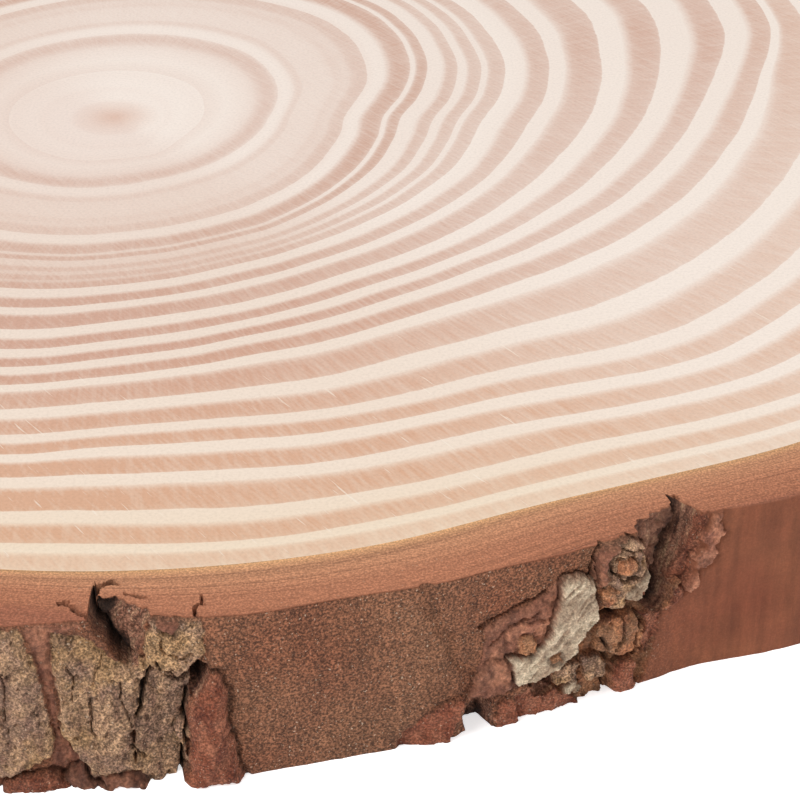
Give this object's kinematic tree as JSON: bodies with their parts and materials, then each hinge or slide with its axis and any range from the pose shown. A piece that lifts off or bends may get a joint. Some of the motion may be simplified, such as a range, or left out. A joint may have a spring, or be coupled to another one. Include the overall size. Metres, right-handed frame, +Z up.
{
  "type": "wood slice",
  "caption": "Round slice of a conifer trunk with sanded faces, wavy growth rings and cracked red-brown bark left on its rim.",
  "frame": {"origin": "middle of the slice's outline box, on the lower sawn face that it lies on", "axes": "+Z up through the slice's thickness, +X and +Y across it; the side drawn closest in the picture faces -Y"},
  "size_m": [0.2656, 0.2704, 0.02],
  "materials": {
    "wood": "sanded, matt, unvarnished",
    "bark": "rough, matt, dry"
  },
  "bodies": {
    "root": {"wood_slice": "wood"}
  },
  "joints": []
}
